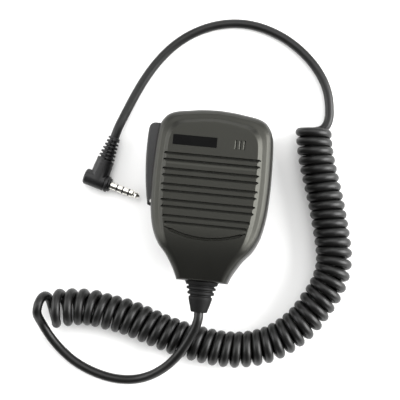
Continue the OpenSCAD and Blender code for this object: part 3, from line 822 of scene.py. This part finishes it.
def make_talk_bar():
    face = spline(BAR_FACE, 10)
    face = np.array([*face, *np.linspace(face[-1], face[0], 20)[1:-1]])
    ahead = np.roll(face, -1, axis=0) - np.roll(face, 1, axis=0)
    inward = np.stack([ahead[:, 1], -ahead[:, 0]], axis=1)
    inward /= np.linalg.norm(inward, axis=1)[:, None]
    middle = face.mean(axis=0)
    if np.sum((middle - face) * inward) < 0:
        inward = -inward
    # Only the side that stands out of the case is rounded
    proud = np.clip(PROUD_X - face[:, 0], 0, 1)[:, None]
    rings = []
    edge = [(1.1, 0), (0.55, 0.14), (0.2, 0.45), (0, 1)]
    levels = [(i, BAR_Z[0] + up) for i, up in edge] + [(0, 24)]
    levels += [(i, BAR_Z[1] - down) for i, down in edge[::-1]]
    for inset, z in levels:
        flat = face + inward * proud * inset
        rings.append(np.column_stack([flat, np.full(len(flat), z)]))
    points, faces = loft(rings)
    bar = mesh_piece("talk_bar_skin", points, faces, "bar_rubber", body="talk_bar", sharp=50)
    # The bar's lowest part gets the black finish: painted shade at its foot, not a black part
    bar.data.materials.append(FINISHES["switch_black"])
    for part in bar.data.polygons:
        if part.center.y < PAINTED_SHADE_Y * MM:
            part.material_index = 1
    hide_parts("ptt_bar")


# ---- Strain relief and plug ----

RELIEF_Y = -40.2
RELIEF_PROFILE = [
    (0, -3.8), (6.8, -3.8), (6.8, -2.2), (5.4, -2.2), (5.4, 0), (8, 0), (7.2, 1.6), (6.1, 1.8),
    (6.1, 2.3), (6.9, 2.6), (6.9, 3.6), (5.6, 3.9), (5.6, 4.5), (6.3, 4.8), (6.3, 6), (5, 6.3),
    (5, 6.9), (5.6, 7.2), (5.5, 8.4), (3.9, 14), (3.5, 14.4), (2.3, 14.4), (2.3, 13.2), (0, 13.2),
]


def make_strain_relief():
    radii = [0, 0, 0, 0] + [0.15] * (len(RELIEF_PROFILE) - 8) + [0, 0]
    profile = rounded(RELIEF_PROFILE, radii, 3)

    def place(radius, angle, along):
        return (radius * math.sin(angle), RELIEF_Y - along, SPLIT_Z + radius * math.cos(angle))

    points, faces = revolved(profile, 72, place)
    relief = mesh_piece("strain_relief_skin", points, faces, "relief_rubber", sharp=60)
    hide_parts("strain_relief")
    return relief


def boot_place(radius, angle, along):
    """A point round the boot's axis. The boot is wider than it is deep, most of all at its base."""
    wide = 1 + 0.12 * (BOOT_LEN - along) / (BOOT_LEN - BOOT_START)
    side = PIN_DIRECTION * math.sin(angle) * wide + Vector((0, 0, math.cos(angle)))
    return PLUG_POS + BOOT_DIRECTION * along + side * radius


def pin_place(radius, angle, along):
    side = BOOT_DIRECTION * math.sin(angle) + Vector((0, 0, math.cos(angle)))
    return PLUG_POS + PIN_DIRECTION * along + side * radius


BOOT_START = 6.5
BOOT_BASE = 10
STUB_R = 4
BOOT_RIBS = 6


def make_plug_boot():
    """A boot with a smooth collar, and slots that alternate from one side to the other."""
    pitch = (BOOT_LEN - BOOT_BASE - 1.4) / BOOT_RIBS
    sides = 64
    heights = list(np.arange(BOOT_START, BOOT_LEN - 0.35, 0.1)) + [BOOT_LEN - 0.3, BOOT_LEN]

    def radius(angle, along):
        taper = STUB_R - 1.15 * max(0, along - BOOT_BASE) / (BOOT_LEN - BOOT_BASE)
        step = 0.12 if 8.2 < along < 9.8 else 0
        worn = 0.3 * max(0, (along - BOOT_LEN + 0.3) / 0.3)
        cut = 0
        for half, start in ((1, 0.5), (-1, 1.3)):
            window = min(1, max(0, (half * math.sin(angle) + 0.15) * 4))
            phase = (along - BOOT_BASE - start) / pitch
            if 0 <= phase < BOOT_RIBS:
                inside = np.interp(phase % 1, [0, 0.12, 0.42, 0.54], [0, 1, 1, 0])
                cut = max(cut, window * inside)
        return taper - step - worn - 1.05 * cut

    points = [boot_place(0, 0, BOOT_START)]
    faces = []
    for along in heights:
        for k in range(sides):
            angle = 2 * math.pi * k / sides
            points.append(boot_place(radius(angle, along), angle, along))
    points.append(boot_place(0, 0, BOOT_LEN))
    for k in range(sides):
        faces.append((0, 1 + k, 1 + (k + 1) % sides))
        end = 1 + (len(heights) - 1) * sides
        faces.append((len(points) - 1, end + k, end + (k + 1) % sides))
    for j in range(len(heights) - 1):
        faces += bridge(1 + j * sides, 1 + (j + 1) * sides, sides)
    boot = mesh_piece("plug_boot_skin", points, faces, "plug_plastic", sharp=45)
    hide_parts("plug_boot")
    return boot


def united(name, first, second, slot):
    """One piece from two overlapping solids, each given as its points and faces."""
    pieces = []
    for points, faces in (first, second):
        mesh = bpy.data.meshes.new(name)
        mesh.from_pydata([tuple(float(c) * MM for c in p) for p in points], [], faces)
        work = bmesh.new()
        work.from_mesh(mesh)
        bmesh.ops.recalc_face_normals(work, faces=work.faces)
        work.to_mesh(mesh)
        work.free()
        piece = bpy.data.objects.new(name, mesh)
        bpy.context.scene.collection.objects.link(piece)
        pieces.append(piece)
    join = pieces[0].modifiers.new("join", "BOOLEAN")
    join.operation = "UNION"
    join.solver = "EXACT"
    join.object = pieces[1]
    bpy.context.view_layer.update()
    graph = bpy.context.evaluated_depsgraph_get()
    mesh = bpy.data.meshes.new_from_object(pieces[0].evaluated_get(graph))
    for piece in pieces:
        bpy.data.objects.remove(piece)
    made = bpy.data.objects.new(name, mesh)
    bpy.context.scene.collection.objects.link(made)
    finish(made, slot)
    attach(made, "handset")
    return made


def make_plug_body():
    barrel = rounded([
        (0, -6.8), (3.3, -6.8), (3.9, -6.1), (3.9, 3.5), (3.55, 3.7), (3.55, 4.1), (4, 4.3),
        (4, 5.5), (3.3, 5.7), (3.3, 6.5), (2.9, 6.8), (0, 6.8),
    ], [0.3, 0.3, 0.1, 0.1, 0.1, 0.2, 0.3, 0.1, 0.2, 0.2], 3)
    stub = [(0, 0), (STUB_R, 0), (STUB_R, BOOT_START), (0, BOOT_START)]
    body = united("plug_body_skin", revolved(barrel, 72, pin_place),
                  revolved(stub, 64, boot_place), "plug_plastic")
    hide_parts("plug_body")
    return body


# ---- Belt clip ----


def make_clip_spring():
    """The clip's coil spring, a fine helix of round wire."""
    turns, steps, sides = 4, 28, 10
    wire_r = 0.35
    coil_r = 2.2
    low, high = 2.8, 7.2
    centre_y = 21
    points, faces = [], []
    total = turns * steps
    for i in range(total + 1):
        turn = 2 * math.pi * i / steps
        out = Vector((math.cos(turn), math.sin(turn), 0))
        middle = out * coil_r + Vector((0, centre_y, low + (high - low) * i / total))
        for k in range(sides):
            a = 2 * math.pi * k / sides
            points.append(middle + (out * math.cos(a) + Vector((0, 0, math.sin(a)))) * wire_r)
    for i in range(total):
        faces += bridge(i * sides, (i + 1) * sides, sides)
    faces += [tuple(range(sides)), tuple(range(total * sides, total * sides + sides))]
    spring = mesh_piece("clip_spring_wire", points, faces, "spring_steel", body="clip", sharp=60)
    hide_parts("clip_spring")
    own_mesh(spring)


# ---- CAD nodes that stay ----

NODE_SLOTS = {
    "case_screws": "steel", "nameplate": "label_plastic", "grille_cloth": "cloth",
    "speaker_gasket": "foam", "speaker_frame": "steel", "speaker_cone": "cone_paper",
    "speaker_magnet": "magnet_steel", "speaker_wires": "wire_red", "mic_capsule": "steel",
    "mic_boot": "relief_rubber", "circuit_board": "board_green", "board_components": "chip_black",
    "ptt_switch": "switch_black", "switch_plunger": "plunger_white", "ptt_seal": "relief_rubber",
    "ptt_pin": "steel", "earphone_jack": "switch_black", "cord_tail": "cord_rubber",
    "cable_clamp": "steel", "lead_wires": "wire_yellow", "swivel_insert": "brass",
    "swivel_screw": "steel", "swivel_washer": "steel", "clip_base": "clip_plastic",
    "clip_pin": "steel", "clip_jaw": "clip_plastic", "plug_sleeve": "pin_metal",
    "plug_rings": "pin_metal", "plug_insulators": "pin_black", "plug_tip": "pin_metal",
}
BEVELS = {"clip_base": 0.5, "clip_jaw": 0.6, "case_screws": 0.15, "swivel_screw": 0.2,
          "swivel_washer": 0.15, "earphone_jack": 0.2, "cable_clamp": 0.3}


def finish_node(name, slot):
    """A CAD node keeps its mesh: it gets its finish, and if it is listed in BEVELS its hard edges
    are softened.
    """
    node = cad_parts[name]
    node.data.materials.clear()
    node.data.materials.append(FINISHES[slot])
    if name in BEVELS:
        weld = node.modifiers.new("weld", "WELD")
        weld.merge_threshold = 0.002 * MM
        bevel = node.modifiers.new("bevel", "BEVEL")
        bevel.width = BEVELS[name] * MM
        bevel.segments = 3
        bevel.limit_method = "ANGLE"
        bevel.angle_limit = math.radians(30)
        bevel.use_clamp_overlap = True


# ---- Studio ----

# Half of the floor's width, in metres
FLOOR_REACH = 3


def area_light(name, place, size, radiance, target=(0, 0, 0)):
    """A softbox of that size in metres, facing target, whose surface has that radiance."""
    data = bpy.data.lights.new(name, "AREA")
    data.shape = "RECTANGLE"
    data.size, data.size_y = size
    data.energy = radiance * size[0] * size[1] * 4
    lamp = bpy.data.objects.new(name, data)
    bpy.context.scene.collection.objects.link(lamp)
    lamp.location = place
    lamp.rotation_euler = (Vector(target) - Vector(place)).to_track_quat("-Z", "Y").to_euler()
    lamp.visible_camera = False


def make_studio():
    area_light("softbox_above", (0, 0.72, 1.4), (1.8, 1.5), 2.1)
    area_light("softbox_right", (1.2, 0.1, 0.56), (1.2, 1.1), 9.8)
    area_light("softbox_left", (-1.3, 0.1, 0.62), (1.2, 0.95), 4)
    area_light("softbox_far", (0, 1.6, 0.4), (1.6, 0.7), 1.5)

    world = bpy.data.worlds.new("studio")
    bpy.context.scene.world = world
    world.use_nodes = True
    tree = world.node_tree
    # Dark in reflections, a soft fill on matt surfaces, and white where it is seen
    kinds = tree.nodes.new("ShaderNodeLightPath")
    shown = tree.nodes["Background"]
    shown.inputs["Color"].default_value = (0.05, 0.05, 0.05, 1)
    for ray, level in (("Is Diffuse Ray", 0.6), ("Is Camera Ray", 1)):
        other = tree.nodes.new("ShaderNodeBackground")
        other.inputs["Color"].default_value = (level, level, level, 1)
        mix = tree.nodes.new("ShaderNodeMixShader")
        tree.links.new(kinds.outputs[ray], mix.inputs[0])
        tree.links.new(shown.outputs[0], mix.inputs[1])
        tree.links.new(other.outputs[0], mix.inputs[2])
        shown = mix
    tree.links.new(shown.outputs[0], tree.nodes["World Output"].inputs["Surface"])

    mesh = bpy.data.meshes.new("floor")
    corners = [(x * FLOOR_REACH, y * FLOOR_REACH, -0.1 * MM)
               for x, y in ((-1, -1), (1, -1), (1, 1), (-1, 1))]
    mesh.from_pydata(corners, [], [(0, 1, 2, 3)])
    floor = bpy.data.objects.new("floor", mesh)
    bpy.context.scene.collection.objects.link(floor)
    mesh.materials.append(material("paper", (0.86, 0.86, 0.855), 0.9, specular=0.1, mottle=0.005,
                                   patch=60, bump=0.02))
    floor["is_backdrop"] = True
    view = bpy.context.scene.view_settings
    view.view_transform = "Standard"


make_camera()
FINISHES = make_finishes()
cord, cord_length = make_cord()
make_front_shell()
make_rear_shell()
make_talk_bar()
relief = make_strain_relief()
boot = make_plug_boot()
plug = make_plug_body()
make_clip_spring()
for node_name, node_slot in NODE_SLOTS.items():
    finish_node(node_name, node_slot)
make_studio()

boxes = {"cad": cad_box, "visual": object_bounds()}
{k: [list(map(float, corner)) for corner in box] for k, box in boxes.items()}
